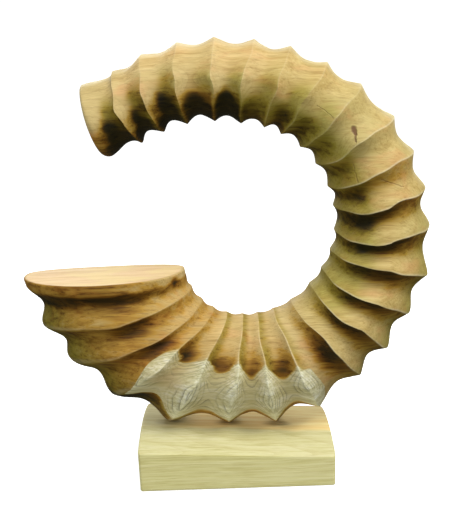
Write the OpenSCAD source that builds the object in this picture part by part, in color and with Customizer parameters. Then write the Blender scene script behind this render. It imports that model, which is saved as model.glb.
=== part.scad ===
// Ridged spiral horn carved from solid wood, standing on a wooden base block.
// Millimetres. +X is right, +Y is away from the viewer, +Z is up.
// The origin is the centre of the base block's underside.

/* [Base block] */
// Length of the base block from left to right
base_length = 200; // [190:1:220]
// Depth of the base block from front to back
base_depth = 110; // [100:1:120]
// Height of the crown of the base block above its middle
base_crown = 49.5; // [49:0.1:50]
// Radius of the rounded top, seen from the end
base_top_radius = 150; // [140:1:200]
// Slope of the top down to the right, in degrees
base_slope = 3.1; // [2.8:0.1:3.4]
// Radius of the upright edges
base_edge_radius = 4; // [2:0.5:8]

/* [Horn] */
// Radius of the circle that the outer ridge tips lie on
outer_radius = 199; // [198:0.5:200]
// Radius of the circle that the inner ridge tips lie on
inner_radius = 99; // [92:1:104]
// How far the front swells from the middle plane at the bell
front_swell = 50; // [44:1:54]
// How much of that swell is lost by the narrow end
swell_taper = 14; // [8:1:18]
// How far the flatter back stands from the middle plane
back_swell = 22; // [18:1:28]
// Depth of the shallowest grooves along the outside
groove_depth = 6.5; // [4:0.5:9]
// Extra depth of the grooves under the lower ridges
lower_groove_extra = 8.5; // [5:0.5:10]
// Height of the plain band below the flat face of the bell
rim_band = 9; // [5:0.5:12]

/* [Fixings] */
// Diameter of the wood screws
screw_diameter = 5; // [4:0.5:6]
// Length of each screw below its head
screw_length = 60; // [50:1:65]
// Diameter of the recess under each screw
recess_diameter = 14; // [13.5:0.5:16]
// Depth of the recess under each screw
recess_depth = 20; // [16:1:24]
// Outer diameter of the washers
washer_diameter = 12; // [11:0.5:13]

/* [Quality] */
// Rings per ridge along the horn
rings_per_ridge = 7; // [5:1:8]

/* [Hidden] */
$fn = 96;

// The horn is swept through ridge stations 0 (flat face of the bell) to 24 (narrow end).
// The ridges were spaced by eye, so each has its own angle, in whole degrees about the circles' centres.
outer_centre = [2, 245];
inner_centre = [6, 264];
outer_angles = [-173, -159, -146, -130, -111, -93, -78, -64, -48, -36, -23, -11,
    4, 15, 26, 37, 50, 61, 72, 82, 93, 103, 113, 122, 131];
inner_angles = [-141, -126, -115, -106, -97, -87, -78, -68, -56, -41, -29, -17,
    -5, 9, 21, 36, 49, 62, 72, 85, 99, 113, 125, 136, 151];
// How far each outer tip stands beyond its circle
tip_rise = [14, 13, 10, 8, 8, -1, 4, 4, -1, -1, -1, 3, 0, 0, 1, 1, -1, -2, -1, -2, 0, 1, 2, 2, 11];
// How far each crest leans towards the bell where it crosses the front
crest_lean = [0, -7, -8, -1, 1, 1, 2, 0, -3, 0, 3, -1, 8, 5, 1, 0, 1, -2, -4, -6, -2, -5, -7, -6, 0];
last = len(outer_angles) - 1;

// Wood of the bell narrows quickly over its first ridges; the narrow end has a small collar.
bell_inset = 31;
bell_reach = 2.6;
taper_start = 19.2;
taper_rate = 5.2;
collar_inset = 19;
collar_reach = 0.4;
inner_groove_depth = 1.5;
inner_groove_growth = 0.42;
inner_groove_start = 8;
deepest_groove = 5.2;
groove_spread = 5.2;
front_groove_depth = 4.5;
front_groove_extra = 3.5;
back_groove_depth = 3;

// Grooves lean to one side on the front and along the edges; the crests between them are blunt.
front_tilt = 0.25;
edge_tilt = 0.3;
last_groove_skew = 0.55;
bluntness = 1.05;
bell_bluntness = 0.3;
narrow_bluntness = 0.25;
// Extra roundness of the outer tips of the bell's first ridges
outer_tip_bluntness = 1;
outer_tip_middle = 2.2;
outer_tip_spread = 1.5;

// Gap between the flat face and the first ridge, along its middle, and how much wider it is outside
first_gap = 36;
first_gap_change = 15;

// Powers that round the cross-section: 2 is an ellipse, more is squarer
crest_power_start = 1.5;
crest_power_bell = 0.45;
crest_power_narrow = 0.3;
groove_power_start = 1.8;
groove_power_bell = 0.15;
inner_power = 2.1;
inner_power_change = 0.25;
back_power = 3;
rim_reach = 1.5;
narrow_reach = 2;

bell_edge_radius = 1.5;
narrow_edge_radius = 5;
narrow_edge_change = 3;
ridge_pitch = 35;
sides_front = 20;
sides_back = 12;

// Screws rise through the base into the three ridge tips that stand on it.
screw_places = [-66, -10, 44];
fit_clearance = 0.05;
clearance_hole = screw_diameter + 0.5;
head_diameter = screw_diameter * 1.9;
head_height = 3.4;
head_chamfer = 1;
slot_width = 1.2;
slot_depth = 1.4;
washer_thickness = 1.2;
washer_hole = screw_diameter + 0.4;
tip_length = 6;
tip_radius = 0.3;
screw_start = recess_depth - washer_thickness;
pilot_extra = 2;
over = 1;

// Value of a list between two of its entries
function between(list, u) =
    let (k = min(floor(u), last - 1))
    list[k] + (u - k) * (list[k + 1] - list[k]);

// A rise and fall of height 1 about a centre
function swell(u, centre, width) = exp(-pow((u - centre) / width, 2));

// Signed power, used for the rounded cross-section
function spow(x, p) = sign(x) * pow(abs(x), p);

// A point on a circle in the XZ plane
function on_circle(centre, r, a) = [centre[0] + r * cos(a), centre[1] + r * sin(a)];

// How far into its groove a point lies: 0 on a crest, 1 at the bottom
function groove(u, c, s) =
    let (
        k = min(floor(u), last - 1),
        band = k == 0 ? rim_band / (first_gap + first_gap_change * c) : 0,
        t = min(max((u - k - band) / (1 - band), 0), 1),
        tilt = front_tilt * (swell(u, 12, 5) - swell(u, 0, 5)),
        skew = k == last - 1 ? last_groove_skew
            : 1 + tilt * max(s, 0) + edge_tilt * swell(u, 11, 4) * (1 - max(s, 0)),
        blunt = bluntness + bell_bluntness * swell(u, 0, 3.5) + narrow_bluntness * swell(u, last, 2.5)
            + outer_tip_bluntness * swell(u, outer_tip_middle, outer_tip_spread) * max(c, 0)
    )
    pow(max(sin(180 * pow(t, skew)), 0), blunt);

// Inset that rounds an edge of radius r at a distance d from the end
function edge_inset(d, r) = d < r ? r - sqrt(r * r - (r - d) * (r - d)) : 0;

// A point on the horn at station u and section angle a: 0 outside, 90 front, 180 inside, 270 back
function horn_point(u, a) =
    let (
        c = cos(a),
        s = sin(a),
        g = groove(u, c, s),
        outer_groove = (groove_depth + lower_groove_extra * swell(u, deepest_groove, groove_spread))
            * (1 - 0.35 * min(max((u - 19) / 3, 0), 1)),
        inner_groove = inner_groove_depth + inner_groove_growth * max(u - inner_groove_start, 0),
        inner_inset = taper_rate * max(u - taper_start, 0) - bell_inset * exp(-u / bell_reach)
            + collar_inset * exp((u - last) / collar_reach),
        outer = on_circle(outer_centre, outer_radius + between(tip_rise, u) - outer_groove * g,
            between(outer_angles, u)),
        inner = on_circle(inner_centre, inner_radius + inner_inset + inner_groove * g,
            between(inner_angles, u)),
        middle = (outer + inner) / 2,
        span = norm(outer - inner),
        out = (outer - inner) / span,
        to_bell = [out[1], -out[0]],
        near_rim = exp(-u / rim_reach),
        crest_power = crest_power_start + crest_power_bell * near_rim
            + crest_power_narrow * exp((u - last) / narrow_reach),
        groove_power = groove_power_start + groove_power_bell * near_rim,
        power = s < 0 ? back_power
            : c < 0 ? inner_power - inner_power_change * u / last * (1 - g)
            : crest_power + (groove_power - crest_power) * g,
        inset = edge_inset(ridge_pitch * (last - u), narrow_edge_radius - narrow_edge_change * c)
            + edge_inset(ridge_pitch * u, bell_edge_radius),
        front = front_swell - swell_taper * u / last
            - (front_groove_depth + front_groove_extra * swell(u, 9, 8)) * g - inset,
        back = back_swell - back_groove_depth * g - inset,
        lean = between(crest_lean, u) * pow(max(s, 0), 2),
        across = middle + (span / 2 - inset) * spow(c, 2 / power) * out + lean * to_bell,
        depth = s < 0 ? back * pow(abs(s), 2 / power) : -front * pow(s, 2 / power)
    )
    [across[0], depth, across[1]];

// The swept body of the horn, before its tips are cut to sit on the base
module horn_sweep() {
    stations = concat(
        [0, 0.02],
        [for (i = [1 : rings_per_ridge * last - 1]) i / rings_per_ridge],
        [last - 0.08, last - 0.03, last]);
    angles = concat(
        [for (i = [0 : sides_front - 1]) 180 * i / sides_front],
        [for (i = [0 : sides_back - 1]) 180 + 180 * i / sides_back]);
    rings = len(stations);
    sides = len(angles);
    points = [for (u = stations) for (a = angles) horn_point(u, a)];
    walls = [for (i = [0 : rings - 2]) for (j = [0 : sides - 1])
        let (p = i * sides + j, q = i * sides + (j + 1) % sides)
        each [[p, p + sides, q], [q, p + sides, q + sides]]];
    bell_face = [for (j = [0 : sides - 1]) j];
    narrow_face = [for (j = [sides - 1 : -1 : 0]) (rings - 1) * sides + j];
    polyhedron(points, concat(walls, [bell_face, narrow_face]), convexity = 10);
}

// Space under the sloping rounded top of the base block
module under_base_top() {
    rotate([0, base_slope, 0])
        translate([0, 0, base_crown - base_top_radius])
            rotate([0, 90, 0])
                cylinder(h = 2 * base_length, r = base_top_radius, center = true, $fn = 180);
}

module rounded_rectangle(length, depth, radius) {
    square([length - 2 * radius, depth], center = true);
    square([length, depth - 2 * radius], center = true);
    for (x = [-1, 1], y = [-1, 1])
        translate([x * (length / 2 - radius), y * (depth / 2 - radius)])
            circle(r = radius, $fn = 48);
}

module at_screws() {
    for (x = screw_places)
        translate([x, 0, 0])
            children();
}

module horn() {
    color("burlywood")
        difference() {
            horn_sweep();
            intersection() {
                under_base_top();
                translate([-base_length / 2, -base_depth / 2, 0])
                    cube([base_length, base_depth, base_length]);
            }
            at_screws()
                translate([0, 0, screw_start])
                    cylinder(
                        h = screw_length + pilot_extra, d = screw_diameter + 2 * fit_clearance, $fn = 48);
        }
}

module base_block() {
    color("wheat")
        difference() {
            intersection() {
                linear_extrude(height = base_length / 2)
                    rounded_rectangle(base_length, base_depth, base_edge_radius);
                under_base_top();
            }
            at_screws() {
                translate([0, 0, -over])
                    cylinder(h = base_length, d = clearance_hole, $fn = 48);
                translate([0, 0, -over])
                    cylinder(h = recess_depth + over, d = recess_diameter, $fn = 64);
            }
        }
}

module wood_screw() {
    shank = screw_length - tip_length;
    difference() {
        rotate_extrude($fn = 48)
            polygon([
                [0, -head_height], [head_diameter / 2 - head_chamfer, -head_height],
                [head_diameter / 2, head_chamfer - head_height],
                [head_diameter / 2, 0], [screw_diameter / 2, 0],
                [screw_diameter / 2, shank], [tip_radius, screw_length], [0, screw_length]]);
        for (turn = [0, 90])
            rotate([0, 0, turn])
                translate([0, 0, slot_depth / 2 - head_height - over / 2])
                    cube([head_diameter * 0.6, slot_width, slot_depth + over], center = true);
    }
}

module fixing_screws() {
    color("silver")
        at_screws()
            translate([0, 0, screw_start])
                wood_screw();
}

module screw_washers() {
    color("gainsboro")
        at_screws()
            translate([0, 0, screw_start])
                difference() {
                    cylinder(h = washer_thickness, d = washer_diameter, $fn = 64);
                    translate([0, 0, -over])
                        cylinder(h = washer_thickness + 2 * over, d = washer_hole, $fn = 48);
                }
}

horn();
base_block();
fixing_screws();
screw_washers();
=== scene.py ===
"""Carved ridged horn on a base block: the looks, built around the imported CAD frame. Metres, +Z up."""
import math
from types import SimpleNamespace

import bmesh
import bpy
import numpy as np
from mathutils import Matrix, Vector


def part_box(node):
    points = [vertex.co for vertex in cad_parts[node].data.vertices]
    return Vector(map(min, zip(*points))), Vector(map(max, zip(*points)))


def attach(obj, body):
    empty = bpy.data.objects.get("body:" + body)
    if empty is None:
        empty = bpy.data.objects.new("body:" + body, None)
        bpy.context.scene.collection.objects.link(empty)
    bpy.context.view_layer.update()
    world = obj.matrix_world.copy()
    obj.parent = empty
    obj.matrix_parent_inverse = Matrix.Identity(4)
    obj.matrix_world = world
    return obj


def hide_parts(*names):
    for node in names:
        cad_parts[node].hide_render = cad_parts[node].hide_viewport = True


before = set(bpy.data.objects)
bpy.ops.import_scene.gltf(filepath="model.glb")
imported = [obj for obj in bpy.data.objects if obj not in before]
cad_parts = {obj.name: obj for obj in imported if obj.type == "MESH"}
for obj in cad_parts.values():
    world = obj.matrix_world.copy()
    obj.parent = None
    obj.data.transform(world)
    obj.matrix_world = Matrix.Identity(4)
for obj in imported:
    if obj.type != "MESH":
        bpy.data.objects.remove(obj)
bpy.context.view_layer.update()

MM = 0.001

# ---------------------------------------------------------------- the horn's design, as in the CAD (mm)
OUTER_CENTRE = (2.0, 245.0)
INNER_CENTRE = (6.0, 264.0)
OUTER_RADIUS = 199.0
INNER_RADIUS = 99.0
# Where each ridge lies, in whole degrees about the circles' centres, from places measured on the photo
OUTER_ANGLES = [-173, -159, -146, -130, -111, -93, -78, -64, -48, -36, -23, -11,
                4, 15, 26, 37, 50, 61, 72, 82, 93, 103, 113, 122, 131]
INNER_ANGLES = [-141, -126, -115, -106, -97, -87, -78, -68, -56, -41, -29, -17,
                -5, 9, 21, 36, 49, 62, 72, 85, 99, 113, 125, 136, 151]
# How far each outer tip stands beyond its circle, measured the same way
TIP_RISE = [14, 13, 10, 8, 8, -1, 4, 4, -1, -1, -1, 3, 0, 0, 1, 1, -1, -2, -1, -2, 0, 1, 2, 2, 11]
# How far each crest leans towards the bell where it crosses the front
CREST_LEAN = [0, -7, -8, -1, 1, 1, 2, 0, -3, 0, 3, -1, 8, 5, 1, 0, 1, -2, -4, -6, -2, -5, -7, -6, 0]
LAST = len(OUTER_ANGLES) - 1

# The bell narrows quickly over its first ridges; the narrow end tapers and has a small collar
BELL_INSET = 31
BELL_REACH = 2.6
TAPER_START = 19.2
TAPER_RATE = 5.2
COLLAR_INSET = 19
COLLAR_REACH = 0.4

# Depths of the grooves, and where along the horn they are deepest
GROOVE_DEPTH = 6.5
LOWER_GROOVE_EXTRA = 8.5
DEEPEST_GROOVE = 5.2
GROOVE_SPREAD = 5.2
INNER_GROOVE_DEPTH = 1.5
INNER_GROOVE_GROWTH = 0.42
INNER_GROOVE_START = 8
FRONT_GROOVE_DEPTH = 4.5
FRONT_GROOVE_EXTRA = 3.5
BACK_GROOVE_DEPTH = 3

# Grooves lean to one side on the front and along the edges; the crests between them are blunt
FRONT_TILT = 0.25
EDGE_TILT = 0.3
LAST_GROOVE_SKEW = 0.55
BLUNTNESS = 1.05
BELL_BLUNTNESS = 0.3
NARROW_BLUNTNESS = 0.25
OUTER_TIP_MIDDLE = 2.2
OUTER_TIP_SPREAD = 1.5

# The plain band below the bell's flat face, and the gap from the face to the first ridge
RIM_BAND = 9.0
FIRST_GAP = 36
FIRST_GAP_CHANGE = 15

# Powers that round the cross-section: 2 is an ellipse, more is squarer
CREST_POWER = 1.5
CREST_POWER_BELL = 0.45
CREST_POWER_NARROW = 0.3
GROOVE_POWER = 1.8
GROOVE_POWER_BELL = 0.15
INNER_POWER = 2.1
INNER_POWER_CHANGE = 0.25
BACK_POWER = 3.0
RIM_REACH = 1.5
NARROW_REACH = 2

RIDGE_PITCH = 35.0
FRONT_SWELL = 50.0
SWELL_TAPER = 14.0
BACK_SWELL = 22.0
BELL_EDGE_RADIUS = 1.5
NARROW_EDGE_RADIUS = 5
NARROW_EDGE_CHANGE = 3

# ---------------------------------------------------------------- the horn's finer detail
# How far (mm) each ridge's edge snakes across the front: towards the tip in the middle, back at both sides.
# A rough summary of how the ridges run in the photo
CREST_SNAKE = [0, 0, 0, 0, 0, 0, 0, 0, 1, 3, 3, 1, 3, 3, 3, 4, 1, 1, 0, 0, 0, 0, 0, 0, 0]
SNAKE_MIDDLE = 75
# Size (mm) and waves per turn of the small wander that every edge has
WANDER_SIZES = (0.7, 0.8, 0.5)
WANDER_WAVES = (3, 5, 9)
# Wavelengths (mm) of the hollows that the tools left, and half of the deepest hollow
TOOL_WAVES = (55, 38, 27, 19, 14)
TOOL_DEPTH = 0.35

# Where the log's pith lay (m), how far its grain is tilted, and how far out its pale sapwood begins
HORN_PITH = (0.0, 0.910, 0.427)
HORN_GRAIN_TILT = -0.13
SAPWOOD_FROM = 0.9955
# The knot's slit and the drying cracks: width (mm), darkness, then station and section angle of both ends
HORN_CRACKS = [
    (7.0, 0.85, (15.36, 83), (15.41, 81)),
    (4.5, 0.85, (15.26, 87), (15.38, 82)),
    (2.2, 0.70, (15.10, 94), (15.28, 86)),
    (1.6, 0.35, (13.35, 58), (13.80, 88)),
    (1.4, 0.30, (14.05, 118), (14.60, 111)),
    (1.4, 0.25, (16.05, 92), (16.60, 89)),
    (1.3, 0.30, (6.62, 92), (6.98, 84))]

# ---------------------------------------------------------------- the base block (mm)
_, BASE_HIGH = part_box("base_block")
BASE_CROWN = 49.5
BASE_TOP_RADIUS = 150.0
BASE_SLOPE = math.radians(3.1)
BASE_EDGE = 3.0
# Grid steps of the block's flat parts along X, Y and Z
BASE_STEPS = (110, 60, 16)
# Ridges that stand on the block, and the section angle about which their tips' dirt and painted contact
# shadow gather
STANDING_RIDGES = np.array([4.0, 5.0, 6.0])
GRIME_AND_SHADE_ANGLE = 14.0
GRIME_AND_SHADE_REACH = 8
GRIME_AND_SHADE_STRENGTH = 0.85
# The holes under the block: how far the recess's wall stands off its washer, then the clearance hole
RECESS_MARGIN = 1
HOLE_RADIUS = 2.75
HOLE_TOP = 60
CUTTER_OVERSHOOT = 5
CUTTER_SIDES = 48


def between(values, u):
    """Value of a list between two of its entries."""
    return np.interp(u, np.arange(len(values)), values)


def swell(u, centre, width):
    """A rise and fall of height 1 about a centre."""
    return np.exp(-(((u - centre) / width) ** 2))


def rise(v, low, high):
    """0 below low, 1 above high, and a smooth climb between."""
    t = np.clip((v - low) / (high - low), 0, 1)
    return t * t * (3 - 2 * t)


def edge_inset(distance, radius):
    """Inset that rounds an edge of that radius at a distance from the end."""
    inside = np.clip(radius**2 - (radius - distance) ** 2, 0, None)
    return np.where(distance < radius, radius - np.sqrt(inside), 0)


def groove(u, c, s):
    """How far into its groove a point lies: 0 on a crest, 1 at the bottom."""
    k = np.minimum(np.floor(u), LAST - 1)
    band = np.where(k == 0, RIM_BAND / (FIRST_GAP + FIRST_GAP_CHANGE * c), 0)
    t = np.clip((u - k - band) / (1 - band), 0, 1)
    tilt = FRONT_TILT * swell(u, 12, 5) - FRONT_TILT * swell(u, 0, 5)
    skew = 1 + on_front(s) * tilt + (1 - on_front(s)) * EDGE_TILT * swell(u, 11, 4)
    skew = np.where(k == LAST - 1, LAST_GROOVE_SKEW, skew)
    blunt = BLUNTNESS + BELL_BLUNTNESS * swell(u, 0, 3.5) + NARROW_BLUNTNESS * swell(u, LAST, 2.5)
    blunt = blunt + swell(u, OUTER_TIP_MIDDLE, OUTER_TIP_SPREAD) * np.clip(c, 0, None)
    return np.clip(np.sin(np.pi * t**skew), 0, 1) ** blunt


def on_front(s):
    """1 in the middle of the front, falling to 0 at both edges, and 0 on the back."""
    return np.clip(s, 0, None)


def hand_wobble(u, degrees):
    """How far (mm) each ridge's edge wanders from its even course, as carved by hand."""
    phases = np.random.default_rng(7).uniform(0, 2 * np.pi, (3, LAST + 1))
    a = np.radians(degrees)
    wobble = -between(CREST_SNAKE, u) * np.cos(3 * (a - np.radians(SNAKE_MIDDLE)))
    for size, waves, phase in zip(WANDER_SIZES, WANDER_WAVES, phases):
        wobble = wobble + size * np.sin(waves * a + between(phase, u))
    return wobble * rise(np.minimum(u, LAST - u), 0, 1)


def carving_marks(points):
    """Soft hollows (mm, never outwards) left by the tools."""
    draw = np.random.default_rng(11)
    depth = np.zeros(len(points))
    for length in TOOL_WAVES:
        aim = draw.normal(size=3)
        wave = 2 * np.pi / length * aim / np.linalg.norm(aim)
        depth += length**0.7 * np.sin(points @ wave + draw.uniform(0, 2 * np.pi))
    return TOOL_DEPTH * (1 + np.tanh(depth / 12))


def on_circle(centre, radius, degrees):
    """A point on a circle in the XZ plane."""
    a = np.radians(degrees)
    return np.stack([centre[0] + radius * np.cos(a), centre[1] + radius * np.sin(a)], -1)


def horn_surface(u, degrees):
    """Points (mm) on the horn at stations u and section angles, and how deep in a groove each one lies.

    The angle is 0 outside, 90 in front, 180 inside and 270 at the back.
    """
    c, s = np.cos(np.radians(degrees)), np.sin(np.radians(degrees))
    g = groove(u, c, s)
    outer_groove = ((GROOVE_DEPTH + LOWER_GROOVE_EXTRA * swell(u, DEEPEST_GROOVE, GROOVE_SPREAD))
                    * (1 - 0.35 * np.clip((u - 19) / 3, 0, 1)))
    inner_groove = INNER_GROOVE_DEPTH + INNER_GROOVE_GROWTH * np.clip(u - INNER_GROOVE_START, 0, None)
    inner_inset = (TAPER_RATE * np.clip(u - TAPER_START, 0, None) - BELL_INSET * np.exp(-u / BELL_REACH)
                   + COLLAR_INSET * np.exp((u - LAST) / COLLAR_REACH))
    outer = on_circle(OUTER_CENTRE, OUTER_RADIUS + between(TIP_RISE, u) - outer_groove * g,
                      between(OUTER_ANGLES, u))
    inner = on_circle(INNER_CENTRE, INNER_RADIUS + inner_inset + inner_groove * g,
                      between(INNER_ANGLES, u))
    middle = (outer + inner) / 2
    span = np.linalg.norm(outer - inner, axis=-1)
    out = (outer - inner) / span[..., None]
    to_bell = np.stack([out[..., 1], -out[..., 0]], -1)
    near_rim = np.exp(-u / RIM_REACH)
    near_narrow_end = np.exp((u - LAST) / NARROW_REACH)
    crest_power = CREST_POWER + CREST_POWER_BELL * near_rim + CREST_POWER_NARROW * near_narrow_end
    groove_power = GROOVE_POWER + GROOVE_POWER_BELL * near_rim
    power = np.where(c < 0, INNER_POWER - INNER_POWER_CHANGE * u / LAST * (1 - g),
                     crest_power + (groove_power - crest_power) * g)
    power = np.where(s < 0, BACK_POWER, power)
    inset = (edge_inset(RIDGE_PITCH * (LAST - u), NARROW_EDGE_RADIUS - NARROW_EDGE_CHANGE * c)
             + edge_inset(RIDGE_PITCH * u, BELL_EDGE_RADIUS))
    front_groove = FRONT_GROOVE_DEPTH + FRONT_GROOVE_EXTRA * swell(u, 9, 8)
    front = FRONT_SWELL - SWELL_TAPER * u / LAST - front_groove * g - inset
    back = BACK_SWELL - BACK_GROOVE_DEPTH * g - inset
    lean = between(CREST_LEAN, u) * on_front(s) ** 2 + hand_wobble(u, degrees) * on_front(s)
    reach = (span / 2 - inset) * np.sign(c) * np.abs(c) ** (2 / power)
    across = middle + reach[..., None] * out + lean[..., None] * to_bell
    depth = np.where(s < 0, back, -front) * np.abs(s) ** (2 / power)
    return np.stack([across[..., 0], depth, across[..., 1]], -1), g


def base_top(x, y):
    """Height (mm) of the base block's top over a point of its plan."""
    arch = BASE_CROWN - BASE_TOP_RADIUS + np.sqrt(np.clip(BASE_TOP_RADIUS**2 - y**2, 0, None))
    return arch / math.cos(BASE_SLOPE) - x * math.tan(BASE_SLOPE)


# ---------------------------------------------------------------- mesh building
def mesh_object(name, points, faces):
    """A smooth-shaded object from points (m) and faces."""
    mesh = bpy.data.meshes.new(name)
    mesh.from_pydata([tuple(p) for p in points], [], faces)
    mesh.validate()
    mesh.polygons.foreach_set("use_smooth", [True] * len(mesh.polygons))
    mesh.update()
    piece = bpy.data.objects.new(name, mesh)
    bpy.context.scene.collection.objects.link(piece)
    return piece


def point_values(piece, name, values):
    """Stores one number per point for the piece's material to read."""
    layer = piece.data.attributes.new(name, "FLOAT", "POINT")
    layer.data.foreach_set("value", np.asarray(values, np.float32))


def horn_grid():
    """Stations and section angles of the horn's mesh. Stations lie closer near crests and ends."""
    per_ridge, front_sides, back_sides = 26, 92, 52
    between_crests = (1 - np.cos(np.pi * np.arange(per_ridge) / per_ridge)) / 2
    stations = np.concatenate([
        [0, 0.004, 0.012, 0.025],
        (np.arange(LAST)[:, None] + between_crests).ravel()[1:],
        LAST - np.array([0.03, 0.018, 0.008, 0.002, 0])])
    stations = np.sort(stations)
    angles = np.concatenate([
        180 * np.arange(front_sides) / front_sides,
        180 + 180 * np.arange(back_sides) / back_sides])
    return stations, angles


def seat_on_base(points):
    """Cuts the tips that stand on the base flush with its top."""
    over_base = (np.abs(points[:, 0]) < BASE_HIGH.x / MM) & (np.abs(points[:, 1]) < BASE_HIGH.y / MM)
    seat = np.maximum(points[:, 2], base_top(points[:, 0], points[:, 1]))
    points[:, 2] = np.where(over_base, seat, points[:, 2])


def build_horn():
    """The carving: the swept surface with tool marks, cut to sit on the base, inside the CAD horn's box."""
    stations, angles = horn_grid()
    u, a = (grid.ravel() for grid in np.meshgrid(stations, angles, indexing="ij"))
    points, g = horn_surface(u, a)
    rings, sides = len(stations), len(angles)
    heart = np.repeat(points.reshape(rings, sides, 3).mean(1), sides, axis=0)
    inward = heart - points
    away_from_ends = rise(np.minimum(u, LAST - u), 0, 0.3)
    step = carving_marks(points) * away_from_ends
    points += inward / np.linalg.norm(inward, axis=1, keepdims=True) * step[:, None]
    seat_on_base(points)
    low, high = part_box("horn")
    points = np.clip(points, np.array(low) / MM, np.array(high) / MM)
    shades = shade_values(u, a, g)
    faces = []
    for i in range(rings - 1):
        for j in range(sides):
            p, q = i * sides + j, i * sides + (j + 1) % sides
            faces.append((p, p + sides, q + sides, q))
    points = list(points)
    for ring, turn in ((0, 1), (rings - 1, -1)):
        close_end(points, faces, ring * sides, sides, turn)
    horn = mesh_object("horn_carving", np.array(points) * MM, faces)
    on_caps = len(points) - len(u)
    for name, values in shades.items():
        point_values(horn, name, np.concatenate([values, np.zeros(on_caps)]))
    point_values(horn, "cut", np.concatenate([np.zeros(len(u)), np.ones(on_caps)]))
    horn.data.set_sharp_from_angle(angle=math.radians(60))
    return horn


def close_end(points, faces, start, sides, turn):
    """Closes one end of the horn with rings that shrink to a middle point."""
    rim = np.array(points[start:start + sides])
    middle = rim.mean(0)
    before = list(range(start, start + sides))
    for size in (0.97, 0.8, 0.6, 0.4, 0.2):
        ring = [len(points) + j for j in range(sides)]
        points.extend(middle + (rim - middle) * size)
        for j in range(sides):
            face = (before[j], before[(j + 1) % sides], ring[(j + 1) % sides], ring[j])
            faces.append(face[::turn])
        before = ring
    points.append(middle)
    for j in range(sides):
        faces.append((before[j], before[(j + 1) % sides], len(points) - 1)[::turn])


def build_base():
    """A block with soft edges, an arched and sloping top, and the screws' recesses underneath.

    It starts as a box 100 mm high, whose heights are then squeezed under the arched top.
    """
    edge = BASE_EDGE
    box_half_height = 50.0
    half = np.array([BASE_HIGH.x / MM, BASE_HIGH.y / MM, box_half_height])

    def spread(axis):
        """Grid places along one axis, closer together over the rounded edges."""
        h = half[axis]
        inner = np.linspace(-(h - edge), h - edge, BASE_STEPS[axis])
        rim = h - edge * (1 - np.array([0.2, 0.4, 0.6, 0.8, 1.0]))
        return np.concatenate([-rim[::-1], inner, rim])

    places = [spread(axis) for axis in range(3)]
    index, points, faces = {}, [], []

    def vertex(key):
        if key not in index:
            index[key] = len(points)
            points.append([places[axis][key[axis]] for axis in range(3)])
        return index[key]

    for axis in range(3):
        a, b = (axis + 1) % 3, (axis + 2) % 3
        for end in (0, len(places[axis]) - 1):
            for i in range(len(places[a]) - 1):
                for j in range(len(places[b]) - 1):
                    corner = []
                    for di, dj in ((0, 0), (1, 0), (1, 1), (0, 1)):
                        key = [0, 0, 0]
                        key[axis], key[a], key[b] = end, i + di, j + dj
                        corner.append(vertex(tuple(key)))
                    faces.append(tuple(corner if end else reversed(corner)))
    points = np.array(points)
    core = np.clip(points, -(half - edge), half - edge)
    away = points - core
    length = np.linalg.norm(away, axis=1, keepdims=True)
    points = core + edge * away / np.maximum(length, 1e-9)
    share = (points[:, 2] + half[2]) / (2 * half[2])
    points[:, 2] = share * base_top(points[:, 0], points[:, 1])
    block = mesh_object("base_plank", points * MM, faces)
    point_values(block, "grime_and_contact_shade", base_grime_and_contact_shade(points))
    cut_recesses(block)
    return block


def base_grime_and_contact_shade(points):
    """Dirt and painted contact shadow on the top round the standing ridge tips: none from 8 mm away, or
    from 19 mm along X.
    """
    tips, _ = horn_surface(STANDING_RIDGES, np.full(len(STANDING_RIDGES), GRIME_AND_SHADE_ANGLE))
    away = np.stack([np.hypot((points[:, 0] - x) / 2.4, points[:, 1] - y) for x, y, _ in tips])
    on_top = points[:, 2] > BASE_CROWN - 15
    return GRIME_AND_SHADE_STRENGTH * (1 - rise(away.min(0), 1, GRIME_AND_SHADE_REACH)) * on_top


def screw_places():
    """X (m) of the three screws, the washers' radius and the height of their tops, from the CAD washers."""
    low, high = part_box("screw_washers")
    across = np.array([v.co.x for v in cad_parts["screw_washers"].data.vertices])
    radius = (high.y - low.y) / 2
    middle = across[(across > low.x + 3 * radius) & (across < high.x - 3 * radius)]
    places = [low.x + radius, (middle.min() + middle.max()) / 2, high.x - radius]
    return places, radius, high.z


def recess_cutter():
    """A recess and a clearance hole for each screw, as solids to be cut from the block's underside."""
    places, washer_radius, washer_top = screw_places()
    recess, hole = washer_radius + RECESS_MARGIN * MM, HOLE_RADIUS * MM
    cutter = bmesh.new()
    for x in places:
        for radius, top in ((recess, washer_top), (hole, HOLE_TOP * MM)):
            low = -CUTTER_OVERSHOOT * MM
            bmesh.ops.create_cone(
                cutter, cap_ends=True, segments=CUTTER_SIDES, radius1=radius, radius2=radius,
                depth=top - low, matrix=Matrix.Translation((x, 0, (top + low) / 2)))
    mesh = bpy.data.meshes.new("cutter")
    cutter.to_mesh(mesh)
    cutter.free()
    tool = bpy.data.objects.new("cutter", mesh)
    bpy.context.scene.collection.objects.link(tool)
    return tool


def cut_recesses(block):
    """Cuts the screws' recesses and holes and keeps the result as the block's own mesh."""
    tool = recess_cutter()
    cut = block.modifiers.new("recesses", "BOOLEAN")
    cut.operation = "DIFFERENCE"
    cut.solver = "EXACT"
    cut.object = tool
    cut.use_self = True
    bpy.context.view_layer.update()
    done = block.evaluated_get(bpy.context.evaluated_depsgraph_get())
    carved = bpy.data.meshes.new_from_object(done)
    block.modifiers.clear()
    block.data = carved
    block.data.set_sharp_from_angle(angle=math.radians(40))
    bpy.data.objects.remove(tool)


# ---------------------------------------------------------------- materials
def rgb(red, green, blue):
    """A colour given as it looks on screen, 0 to 255, as Blender's linear values."""
    def linear(v):
        v /= 255
        return v / 12.92 if v <= 0.04045 else ((v + 0.055) / 1.055) ** 2.4
    return (linear(red), linear(green), linear(blue), 1.0)


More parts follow.
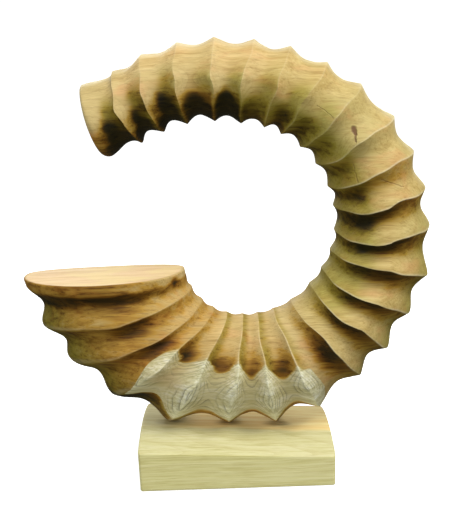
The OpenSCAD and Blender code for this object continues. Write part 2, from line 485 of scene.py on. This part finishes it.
class Graph:
    """Short names for the nodes of one material."""

    def __init__(self, name):
        self.material = bpy.data.materials.new(name)
        self.material.use_nodes = True
        self.tree = self.material.node_tree
        self.shader = next(n for n in self.tree.nodes if n.type == "BSDF_PRINCIPLED")
        self.place = self.node("ShaderNodeTexCoord").outputs["Object"]

    def node(self, kind, **settings):
        made = self.tree.nodes.new(kind)
        for key, value in settings.items():
            setattr(made, key, value)
        return made

    def put(self, socket, value):
        if isinstance(value, bpy.types.NodeSocket):
            self.tree.links.new(value, socket)
        else:
            socket.default_value = value

    def math(self, operation, a, b=0.0):
        made = self.node("ShaderNodeMath", operation=operation)
        self.put(made.inputs[0], a)
        self.put(made.inputs[1], b)
        return made.outputs[0]

    def vector(self, operation, a, b):
        made = self.node("ShaderNodeVectorMath", operation=operation)
        self.put(made.inputs[0], a)
        self.put(made.inputs[1], b)
        return made.outputs["Value" if operation in ("LENGTH", "DOT_PRODUCT") else "Vector"]

    def remap(self, value, low, high, to_low=0.0, to_high=1.0):
        made = self.node("ShaderNodeMapRange", interpolation_type="SMOOTHSTEP")
        for socket, v in zip(made.inputs, (value, low, high, to_low, to_high)):
            self.put(socket, v)
        return made.outputs[0]

    def noise(self, place, stretch, detail=3.0, roughness=0.55, distortion=0.0):
        """Noise whose grains are 1/stretch metres along X, Y and Z."""
        made = self.node("ShaderNodeTexNoise")
        self.put(made.inputs["Vector"], self.vector("MULTIPLY", place, stretch))
        for key, value in (("Scale", 1.0), ("Detail", detail), ("Roughness", roughness),
                           ("Distortion", distortion)):
            made.inputs[key].default_value = value
        return made.outputs[0]

    def sway(self, place, stretch, reach):
        """Shifts a place to and fro by up to half the reach (metres), the same way for near neighbours."""
        made = self.node("ShaderNodeTexNoise")
        self.put(made.inputs["Vector"], self.vector("MULTIPLY", place, stretch))
        made.inputs["Scale"].default_value = 1.0
        made.inputs["Detail"].default_value = 1.5
        shift = self.vector("SUBTRACT", made.outputs["Color"], (0.5, 0.5, 0.5))
        return self.vector("ADD", place, self.vector("MULTIPLY", shift, (reach, reach, reach)))

    def crack(self, place, start, end, width):
        """1 on a line between two points, fading to 0 at half its width (metres). It runs deep along Y."""
        start, end = Vector(start), Vector(end)
        along = (end - start) * Vector((1.0, 0.1, 1.0))
        from_start = self.vector("SUBTRACT", place, tuple(start))
        from_start = self.vector("MULTIPLY", from_start, (1.0, 0.1, 1.0))
        share = self.vector("DOT_PRODUCT", from_start, tuple(along / along.length_squared))
        share = self.math("MINIMUM", self.math("MAXIMUM", share, 0.0), 1.0)
        reached = self.node("ShaderNodeVectorMath", operation="SCALE")
        reached.inputs[0].default_value = tuple(along)
        self.put(reached.inputs["Scale"], share)
        away = self.vector("LENGTH", self.vector("SUBTRACT", from_start, reached.outputs[0]), (0, 0, 0))
        return self.remap(away, 0.15 * width, 0.5 * width, 1.0, 0.0)

    def mix(self, share, a, b, blend="MIX"):
        made = self.node("ShaderNodeMix", data_type="RGBA", blend_type=blend)
        for socket, value in ((made.inputs[0], share), (made.inputs[6], a), (made.inputs[7], b)):
            self.put(socket, value)
        return made.outputs[2]

    def ramp(self, share, stops):
        made = self.node("ShaderNodeValToRGB")
        self.put(made.inputs[0], share)
        points = made.color_ramp.elements
        while len(points) < len(stops):
            points.new(1.0)
        for point, (at, colour) in zip(points, stops):
            point.position = at
            point.color = colour
        return made.outputs[0]

    def facing(self, axis):
        """How squarely the surface faces along an axis, -1 to 1."""
        parts = self.node("ShaderNodeSeparateXYZ")
        self.put(parts.inputs[0], self.node("ShaderNodeNewGeometry").outputs["Normal"])
        return parts.outputs[axis]

    def attribute(self, name):
        return self.node("ShaderNodeAttribute", attribute_name=name).outputs["Fac"]

    def bump(self, height, depth):
        made = self.node("ShaderNodeBump")
        made.inputs["Distance"].default_value = depth
        self.put(made.inputs["Height"], height)
        self.put(self.shader.inputs["Normal"], made.outputs[0])

    def shade(self, colour, roughness, **constants):
        self.put(self.shader.inputs["Base Color"], colour)
        self.put(self.shader.inputs["Roughness"], roughness)
        for key, value in constants.items():
            self.shader.inputs[key.replace("_", " ")].default_value = value
        return self.material


def wood_pattern(g, pith, tilt, ring_gap, bend):
    """A log along X, tilted about Y: the distance from its pith, and its rings, fibres and pores."""
    place = g.sway(g.sway(g.place, (7, 9, 9), bend), (30, 60, 60), 0.1 * bend)
    turned = g.node("ShaderNodeVectorRotate", rotation_type="Y_AXIS")
    g.put(turned.inputs["Vector"], g.vector("SUBTRACT", place, pith))
    turned.inputs["Angle"].default_value = tilt
    distance = g.vector("LENGTH", g.vector("MULTIPLY", turned.outputs[0], (0, 1, 1)), (0, 0, 0))
    at_distance = g.node("ShaderNodeCombineXYZ")
    g.put(at_distance.inputs["Y"], distance)
    uneven = g.noise(at_distance.outputs[0], (1, 90, 1), 2.0)
    turns = g.math("ADD", g.math("DIVIDE", distance, ring_gap), g.math("MULTIPLY", uneven, 4.0))
    ring = g.math("POWER", g.math("FRACT", turns), 4.0)
    fibre = g.noise(place, (9, 170, 170), 4.0, 0.6)
    fine = g.noise(place, (25, 620, 620), 3.0, 0.6)
    pores = g.remap(g.noise(place, (60, 1500, 1500), 2.0), 0.62, 0.72)
    return distance, ring, fibre, fine, pores


def horn_cracks(g):
    """How dark the drying cracks and the open slit of a knot make the wood, 0 to 1."""
    place = g.sway(g.place, (160, 160, 160), 3 * MM)
    parted = 0.0
    for width, darkness, start, end in HORN_CRACKS:
        ends, _ = horn_surface(np.array([start[0], end[0]], float), np.array([start[1], end[1]], float))
        line = g.crack(place, ends[0] * MM, ends[1] * MM, width * MM)
        parted = g.math("MAXIMUM", g.math("MULTIPLY", line, darkness), parted)
    return parted


def horn_wood():
    """Brown heartwood and pale ringed sapwood, with stains and painted shade, a greenish tint that is
    partly painted shade, worn crests with painted highlights, cut ends, a knot and cracks.
    """
    g = Graph("horn_wood_look")
    distance, ring, fibre, fine, pores = wood_pattern(g, HORN_PITH, HORN_GRAIN_TILT, 1.9 * MM, 0.016)
    cloud = g.noise(g.place, (11, 16, 16), 3.0)
    patch = g.noise(g.vector("ADD", g.place, (0.3, 0.7, 0.1)), (20, 44, 44), 3.0, 0.6, 0.4)
    streak = g.math("ADD", g.math("MULTIPLY", fibre, 0.6), g.math("MULTIPLY", fine, 0.4))

    heart = g.ramp(streak, [(0.30, rgb(166, 136, 80)), (0.45, rgb(192, 164, 106)),
                            (0.58, rgb(208, 182, 126)), (0.72, rgb(222, 202, 150))])
    heart = g.mix(g.remap(cloud, 0.40, 0.65, 0.0, 0.55), heart, rgb(188, 172, 118))
    heart = g.mix(g.remap(patch, 0.50, 0.75, 0.0, 0.50), heart, rgb(210, 156, 108))
    heart = g.mix(g.math("MULTIPLY", ring, g.remap(patch, 0.3, 0.6, 0.3, 0.1)), heart,
                  rgb(186, 156, 104), "MULTIPLY")
    sapwood = g.ramp(streak, [(0.34, rgb(182, 176, 128)), (0.50, rgb(224, 221, 184)),
                              (0.64, rgb(252, 252, 236))])
    # painted shade: the sapwood darkens and browns towards the bottom of each groove
    sapwood = g.mix(g.math("MULTIPLY", g.attribute("groove"), 0.65), sapwood, rgb(182, 166, 112))
    sapwood = g.mix(g.remap(cloud, 0.5, 0.7, 0.0, 0.4), sapwood, rgb(206, 176, 132))
    ring_strength = g.remap(patch, 0.38, 0.62, 0.9, 0.15)
    sapwood = g.mix(g.math("MULTIPLY", ring, ring_strength), sapwood, rgb(112, 106, 82))
    waver = g.math("MULTIPLY", g.math("SUBTRACT", fibre, 0.5), 5 * MM)
    deeper = g.math("MULTIPLY", g.attribute("sapwood"), MM)
    depth = g.math("ADD", g.math("SUBTRACT", distance, SAPWOOD_FROM), deeper)
    sap = g.remap(g.math("ADD", depth, waver), -1.2 * MM, 1.2 * MM)
    wood = g.mix(sap, heart, sapwood)

    spots = g.math("ADD", g.math("MULTIPLY", g.math("SUBTRACT", patch, 0.5), 0.3),
                   g.math("MULTIPLY", g.math("SUBTRACT", fibre, 0.5), 0.85))
    # the brown stain together with painted shade in hollows, under crests and on downward faces
    stain_and_shade = g.attribute("stain_and_shade")
    stain_and_shade = g.remap(g.math("ADD", stain_and_shade, g.math("MULTIPLY", spots, g.remap(stain_and_shade, 0.0, 0.4))), 0.0, 1.0)
    stain_and_shade = g.math("MULTIPLY", stain_and_shade, g.math("SUBTRACT", 1.0, g.math("MULTIPLY", sap, 0.85)))
    brown = g.ramp(stain_and_shade, [(0.0, (1, 1, 1, 1)), (0.35, rgb(228, 202, 130)), (0.7, rgb(156, 120, 50)),
                           (1.0, rgb(64, 54, 30))])
    greenish = g.ramp(stain_and_shade, [(0.0, (1, 1, 1, 1)), (0.35, rgb(214, 208, 146)), (0.7, rgb(140, 126, 62)),
                              (1.0, rgb(54, 52, 32))])
    # greenish tint: partly the wood's own tone, partly painted shade on the downward and inner faces
    olive_and_green_shade = g.attribute("olive_and_green_shade")
    wood = g.mix(1.0, wood, g.mix(olive_and_green_shade, brown, greenish), "MULTIPLY")
    olive_heart = g.math("MULTIPLY", olive_and_green_shade, g.math("SUBTRACT", 1.0, sap))
    wood = g.mix(olive_heart, wood, rgb(212, 222, 172), "MULTIPLY")
    scratches = g.remap(g.noise(g.place, (22, 430, 430), 3.0, 0.75), 0.53, 0.62)
    wood = g.mix(g.math("MULTIPLY", scratches, g.math("ADD", 0.2, g.math("MULTIPLY", stain_and_shade, 0.6))), wood,
                 rgb(150, 124, 70), "MULTIPLY")
    # pale crests: partly wear, partly painted highlight
    worn_and_highlit = g.math("MULTIPLY", g.attribute("wear_and_highlight"), g.remap(patch, 0.35, 0.6, 0.1, 0.35))
    wood = g.mix(worn_and_highlit, wood, rgb(232, 226, 192))
    cut_face = g.ramp(streak, [(0.34, rgb(198, 158, 106)), (0.50, rgb(222, 188, 138)),
                               (0.66, rgb(236, 208, 162))])
    cut_face = g.mix(g.remap(patch, 0.42, 0.62, 0.0, 0.6), cut_face, rgb(226, 206, 138))
    end_grain = g.remap(g.math("ABSOLUTE", g.facing("X")), 0.5, 0.8, 0.3, 0.85)
    cut_face = g.mix(g.math("MULTIPLY", ring, end_grain), cut_face, rgb(168, 126, 78))
    wood = g.mix(g.math("MULTIPLY", g.attribute("cut"), 0.8), wood, cut_face)
    wood = g.mix(g.math("MULTIPLY", pores, 0.25), wood, rgb(150, 116, 66), "MULTIPLY")
    parted = horn_cracks(g)
    wood = g.mix(parted, wood, rgb(92, 54, 36))
    height = g.math("ADD", g.math("MULTIPLY", fibre, 0.5), g.math("MULTIPLY", fine, 0.5))
    g.bump(g.math("SUBTRACT", height, g.math("MULTIPLY", parted, 2.0)), 0.5 * MM)
    return g.shade(wood, g.remap(fine, 0.3, 0.7, 0.5, 0.66), Specular_IOR_Level=0.2)


def base_wood():
    """Pale planed wood with a browner strip along the crown, lightened as painted light against the horn's
    shadow, and dirt with painted contact shadow round the standing ridge tips. Upward faces get a slight
    painted shade.
    """
    g = Graph("base_wood_look")
    _, ring, fibre, fine, _ = wood_pattern(g, (0.0, 0.02, -0.09), 0.0, 2.6 * MM, 0.008)
    place = g.node("ShaderNodeSeparateXYZ")
    g.put(place.inputs[0], g.place)
    streak = g.math("ADD", g.math("MULTIPLY", fibre, 0.5), g.math("MULTIPLY", fine, 0.5))
    pale = g.ramp(streak, [(0.30, rgb(200, 192, 124)), (0.5, rgb(222, 216, 156)),
                           (0.7, rgb(234, 228, 178))])
    pale = g.mix(g.math("MULTIPLY", ring, 0.2), pale, rgb(206, 190, 130), "MULTIPLY")
    lines = g.remap(g.noise(g.place, (22, 480, 480), 4.0, 0.75), 0.48, 0.64, 0.0, 0.24)
    pale = g.mix(lines, pale, rgb(196, 182, 120), "MULTIPLY")
    wander = g.math("MULTIPLY", g.math("SUBTRACT", g.noise(g.place, (14, 14, 14), 2.0), 0.5), 0.02)
    crown = g.remap(g.math("ADD", place.outputs[1], wander), -0.022, -0.016)
    crown = g.math("MULTIPLY", crown, g.remap(place.outputs[2], 0.03, 0.036))
    from_left = g.remap(g.math("ADD", place.outputs[0], wander), -0.085, -0.03, 0.25, 1.0)
    crown = g.math("MULTIPLY", crown, from_left)
    # painted shade: faces that look up are made slightly darker and cooler
    top_painted_shade = g.mix(1.0, pale, rgb(240, 241, 252), "MULTIPLY")
    pale = g.mix(g.remap(g.facing("Z"), 0.4, 0.8), pale, top_painted_shade)
    # the browner strip along the crown, its colours lightened to make up for the horn's shadow there:
    # painted light
    heart = g.mix(g.remap(fibre, 0.35, 0.65), rgb(234, 206, 136), rgb(248, 230, 166))
    wood = g.mix(crown, pale, heart)
    # dark dirt and painted contact shadow where the ridge tips stand on the top
    grime_and_contact_shade = g.math("MULTIPLY", g.attribute("grime_and_contact_shade"), g.remap(fine, 0.35, 0.6, 0.3, 0.9))
    wood = g.mix(grime_and_contact_shade, wood, rgb(96, 70, 42))
    height = g.math("ADD", g.math("MULTIPLY", fibre, 0.5), g.math("MULTIPLY", fine, 0.5))
    g.bump(height, 0.5 * MM)
    return g.shade(wood, g.remap(fine, 0.3, 0.7, 0.5, 0.66), Specular_IOR_Level=0.2)


def zinc(name, tone):
    """Cloudy, finely scratched zinc plating."""
    g = Graph(name)
    cloud = g.noise(g.place, (300, 300, 300), 4.0)
    scratch = g.noise(g.place, (2500, 2500, 250), 2.0)
    colour = g.mix(cloud, rgb(tone, tone, tone - 6), rgb(tone - 48, tone - 48, tone - 44))
    g.bump(scratch, 0.05 * MM)
    return g.shade(colour, g.remap(cloud, 0.3, 0.7, 0.28, 0.45), Metallic=1.0)


def horn_zones(u, a, g, t):
    """Parts of the horn that several of its shades share, each 0 to 1. t is the way from crest to crest."""
    z = SimpleNamespace()
    z.bell = 1 - rise(u, 2.8, 4.2)
    z.right = rise(u, 6.9, 7.4) * (1 - rise(u, 12.0, 15.0))
    z.bottom = (1 - z.bell) * (1 - z.right) * (1 - rise(u, 7.2, 8.2))
    z.tip = rise(u, 17.2, 20.0)
    # Most of the zones below mark where shade is painted: under the crests (early, late, after_crest,
    # last_grooves), on the inner side (core) and on the downward faces (underside).
    z.early = rise(g, 0.0, 0.3) * (1 - rise(t, 0.35, 0.85))
    z.late = rise(t, 0.2, 0.9)
    z.after_crest = rise(t, 0.0, 0.06) * (1 - rise(t, 0.1, 0.5))
    z.last_grooves = rise(u, 20.4, 21.4) * (1 - rise(t, 0.3, 0.6))
    core_edge = 119 - 9 * rise(u, 18.5, 21.5) + 5 * np.sin(np.pi * u) + 8 * np.cos(2 * np.pi * (t - 0.1))
    z.core = rise(a, core_edge - 12, core_edge + 12) * (0.45 + 0.55 * rise(g, 0.0, 0.5))
    z.core *= 1 - 0.6 * rise(u, 20.6, 21.4) * rise(t, 0.45, 0.7) * (1 - rise(a, 128, 145))
    # the downward faces under the sapwood, which get painted shade and no sapwood
    edge = 20 + 13 * g + 12 * swell(u, 3.5, 0.5)
    z.underside = (1 - rise(a, edge, edge + 8)) * rise(u, 2.6, 3.2) * (1 - rise(u, 6.8, 7.1))
    return z


def stain_and_shade_values(u, a, g, t, z):
    """How dark the brown stain and the painted shade are."""
    upper = rise(a, 100, 125)
    # the bell: its plain band, the recess under the band, then the grooves; a brown stain with painted
    # shade in the recess and just under each crest
    rim_band = 1 - rise(u, 0.24, 0.30)
    recess = rise(u, 0.24, 0.30) * (1 - rise(u, 0.40, 0.66))
    stain_and_shade = z.bell * (0.42 - 0.16 * upper) + rim_band * (0.10 - 0.26 * rise(a, 125, 150))
    stain_and_shade += recess * (0.48 - 0.24 * rise(a, 115, 150))
    stain_and_shade += z.bell * (1 - rim_band) * (1 - recess) * z.early * (0.14 + 0.26 * swell(a, 100, 14))
    stain_and_shade += 0.6 * swell(u, 0.22, 0.14) * swell(a, 152, 6)
    # a dark belt just above the sapwood
    belt = 100 - 12 * rise(u, 3.2, 6.5) + 8 * rise(u, 8.0, 9.5)
    belt_stain = 0.34 + 0.28 * rise(u, 3.6, 4.6)
    belt_stain = belt_stain * rise(u, 2.8, 3.4) * (1 - z.right) * (1 - rise(u, 12, 14))
    stain_and_shade += belt_stain * g**0.6 * swell(a, belt + 3, 17)
    stain_and_shade += 0.34 * z.bottom * rise(u, 4.4, 5.0) * rise(t, 0.35, 0.9) * g**0.3 * swell(a, 108, 15)
    stain_and_shade += z.bottom * (0.06 + 0.10 * g + 0.26 * z.after_crest) * rise(a, 85, 110)
    # the grooves on the right, then those of the top arc: painted shade under each crest and on the faces
    # that look inwards, with some brown stain
    stain_and_shade += z.right * z.late * (0.42 + 0.50 * swell(a, belt, 36)) * (1 - 0.35 * rise(a, 125, 160))
    stain_and_shade += rise(u, 10.0, 13.0) * (1 - z.tip) * (0.12 * z.late + (0.18 + 0.30 * g) * upper)
    # the nearly black inner side towards the narrow end: painted shade on faces that look down and inwards
    stain_and_shade += rise(u, 18.2, 19.4) * (0.30 * rise(a, 88, 118) + 0.64 * z.core)
    stain_and_shade += 0.46 * z.last_grooves * rise(a, 42, 90) * (1 - rise(a, 105, 125))
    stain_and_shade += 0.26 * rise(u, 15.0, 17.5) * (1 - z.last_grooves) * z.early * rise(a, 50, 90)
    # painted shade on the downward faces under the sapwood
    stain_and_shade += 0.5 * z.underside
    return np.clip(stain_and_shade, 0, 1)


def olive_and_green_shade_values(u, a, t, z):
    """How greenish the wood and its stain are: partly the wood's tone, partly a painted greenish shade on
    faces that look down or inwards.
    """
    low_bell = (1 - rise(u, 3.0, 4.6)) * (1 - rise(a, 25, 70)) * rise(u, 0.1, 0.5)
    inner_side = rise(u, 8, 10) * (1 - rise(u, 18.5, 20.5)) * rise(a, 90, 130)
    outer_side = rise(u, 7, 8) * (1 - rise(u, 11, 14)) * (1 - rise(a, 20, 65))
    right_side = rise(u, 7, 9) * (1 - rise(u, 17, 20))
    olive_and_green_shade = 0.35 * right_side + low_bell + inner_side + 0.6 * outer_side
    olive_and_green_shade += 0.7 * rise(u, 18.2, 19.4) * z.core
    olive_and_green_shade += 0.8 * z.last_grooves * rise(a, 45, 85) + 0.7 * z.bottom * z.after_crest
    olive_and_green_shade += 0.8 * rise(u, 15, 17) * (1 - rise(u, 20, 21)) * (1 - rise(t, 0.2, 0.7)) * swell(a, 88, 22)
    return np.clip(olive_and_green_shade, 0, 1)


def wear_and_highlight_values(u, a, g, z):
    """How pale the crests are, 0 to about 3: partly real wear, partly painted highlight along the crests
    and the upward outer edge of the top arc.
    """
    wear_and_highlight = (1 - rise(g, 0.0, 0.08)) * rise(u, 0.4, 0.6) * (1 - rise(a, 130, 160))
    wear_and_highlight *= (1 - 0.75 * rise(u, 14, 17)) * (1 - 0.6 * z.bell) * (1 - z.tip * rise(a, 90, 112))
    # paler outer edge from the right side onto the top arc: partly painted highlight where it faces the
    # light
    wear_and_highlight += 1.8 * rise(u, 11, 14) * (1 - rise(a, 5, 32))
    return wear_and_highlight


def sapwood_values(u, a, g, z):
    """How much further in (mm) the sapwood begins than its growth ring. Large negative values bar it."""
    sapwood = 12 * swell(u, 7.1, 0.28) * (1 - rise(a, 70, 95)) - 2 * g**2 * rise(u, 4, 5)
    sapwood += 7 * rise(u, 4.4, 5.4) * swell(a, 56, 24)
    # keeps the sapwood off the downward faces, so they stay brown as painted shade
    sapwood -= 30 * z.underside
    start = 3.0 - 0.4 * rise(a, 45, 90)
    sapwood -= 40 * (1 - rise(u, start - 0.16, start + 0.1)) + 40 * rise(u, 7.25, 7.5)
    return sapwood


def shade_values(u, a, g):
    """What the horn's material reads at each point. The back is shaded as a mirror of the front."""
    t = u - np.floor(u)
    a = np.where(a > 180, 360 - a, a)
    z = horn_zones(u, a, g, t)
    return {"stain_and_shade": stain_and_shade_values(u, a, g, t, z), "olive_and_green_shade": olive_and_green_shade_values(u, a, t, z),
            "sapwood": sapwood_values(u, a, g, z), "wear_and_highlight": wear_and_highlight_values(u, a, g, z), "groove": g}


def give(piece, material):
    """Makes a material the piece's only one."""
    piece.data.materials.clear()
    piece.data.materials.append(material)


# ---------------------------------------------------------------- the object
def build_object():
    """The horn and the block replace their CAD solids; the screws and washers keep theirs."""
    horn = build_horn()
    give(horn, horn_wood())
    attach(horn, "root")
    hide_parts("horn")

    block = build_base()
    give(block, base_wood())
    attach(block, "root")
    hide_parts("base_block")

    give(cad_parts["fixing_screws"], zinc("screw_zinc", 205))
    give(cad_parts["screw_washers"], zinc("washer_zinc", 215))


# ---------------------------------------------------------------- floor, light and camera
def build_floor():
    """A round pale floor that curves up into a backdrop. It lends the object no light."""
    middle, flat, curve, height, sides = 0.7, 2.6, 1.4, 1.6, 96
    profile = [(middle, 0.0), (flat, 0.0)]
    profile += [(flat + curve * math.sin(a), curve * (1 - math.cos(a)))
                for a in np.linspace(0.1, math.pi / 2, 16)]
    profile.append((flat + curve, curve + height))
    points, faces = [], []
    turns = np.linspace(0, 2 * math.pi, sides, False)
    for r, z in profile:
        points += [(r * math.cos(turn), r * math.sin(turn), z) for turn in turns]
    for i in range(len(profile) - 1):
        for j in range(sides):
            p, q = i * sides + j, i * sides + (j + 1) % sides
            faces.append((p, p + sides, q + sides, q))
    faces.append(tuple(range(sides)))
    floor = mesh_object("floor", points, faces)
    floor.visible_diffuse = False
    floor.visible_glossy = False
    g = Graph("floor_look")
    speckle = g.noise(g.place, (40, 40, 40), 3.0)
    colour = g.mix(speckle, rgb(250, 252, 252), rgb(253, 254, 254))
    g.shader.inputs["Emission Color"].default_value = (1, 1, 1, 1)
    g.shader.inputs["Emission Strength"].default_value = 0.55
    give(floor, g.shade(colour, 0.9))


def area_light(name, place, size, power, colour):
    """A round soft lamp (metres and watts) that points at a place 0.2 m above the middle of the floor."""
    aim = Vector((0, 0, 0.2))
    data = bpy.data.lights.new(name, "AREA")
    data.shape = "DISK"
    data.size = size
    data.energy = power
    data.color = colour
    light = bpy.data.objects.new(name, data)
    light.location = place
    light.rotation_euler = (aim - Vector(place)).to_track_quat("-Z", "Y").to_euler()
    bpy.context.scene.collection.objects.link(light)


def build_light():
    """A pale dome over a dim ground, a lamp above on the right, a weaker one behind and one in front."""
    area_light("key", (0.85, -0.6, 1.8), 0.8, 28, (1.0, 0.98, 0.94))
    area_light("back", (-0.7, 1.7, 0.9), 1.0, 12, (1.0, 1.0, 0.97))
    area_light("fill", (-0.3, -1.6, 0.45), 1.2, 10, (0.99, 1.0, 0.94))
    build_dome()


def build_dome():
    """Light from all round: dim from below the horizon, grey just above it and palest overhead."""
    world = bpy.data.worlds.new("studio")
    world.use_nodes = True
    nodes, links = world.node_tree.nodes, world.node_tree.links
    direction = nodes.new("ShaderNodeTexCoord").outputs["Generated"]
    split = nodes.new("ShaderNodeSeparateXYZ")
    links.new(direction, split.inputs[0])
    dome = nodes.new("ShaderNodeValToRGB")
    height = nodes.new("ShaderNodeMapRange")
    height.inputs["From Min"].default_value = -1
    height.inputs["From Max"].default_value = 1
    links.new(split.outputs["Z"], height.inputs["Value"])
    links.new(height.outputs[0], dome.inputs[0])
    ground, horizon = dome.color_ramp.elements
    ground.position = 0.40
    ground.color = (0.12, 0.12, 0.09, 1)
    horizon.position = 0.50
    horizon.color = (0.38, 0.38, 0.38, 1)
    zenith = dome.color_ramp.elements.new(1.0)
    zenith.color = (0.72, 0.72, 0.72, 1)
    links.new(dome.outputs[0], nodes["Background"].inputs[0])
    nodes["Background"].inputs["Strength"].default_value = 1.0
    bpy.context.scene.world = world


def build_camera():
    """The viewpoint: in front, a little below the horn's top, looking down and slightly rolled."""
    place = (-0.0005, -0.683, 0.4148)
    pitch = math.radians(15.79)
    roll = math.radians(-1.94)
    forward = Vector((0, math.cos(pitch), -math.sin(pitch)))
    level_right = Vector((1, 0, 0))
    level_up = level_right.cross(forward)
    right = math.cos(roll) * level_right + math.sin(roll) * level_up
    up = right.cross(forward)
    turn = Matrix((right, up, -forward)).transposed().to_4x4()
    data = bpy.data.cameras.new("camera")
    data.sensor_width = 36
    data.lens = 47.4
    camera = bpy.data.objects.new("camera", data)
    camera.matrix_world = Matrix.Translation(place) @ turn
    bpy.context.scene.collection.objects.link(camera)
    bpy.context.scene.camera = camera


build_object()
build_floor()
build_light()
build_camera()
bpy.context.scene.view_settings.view_transform = "Standard"
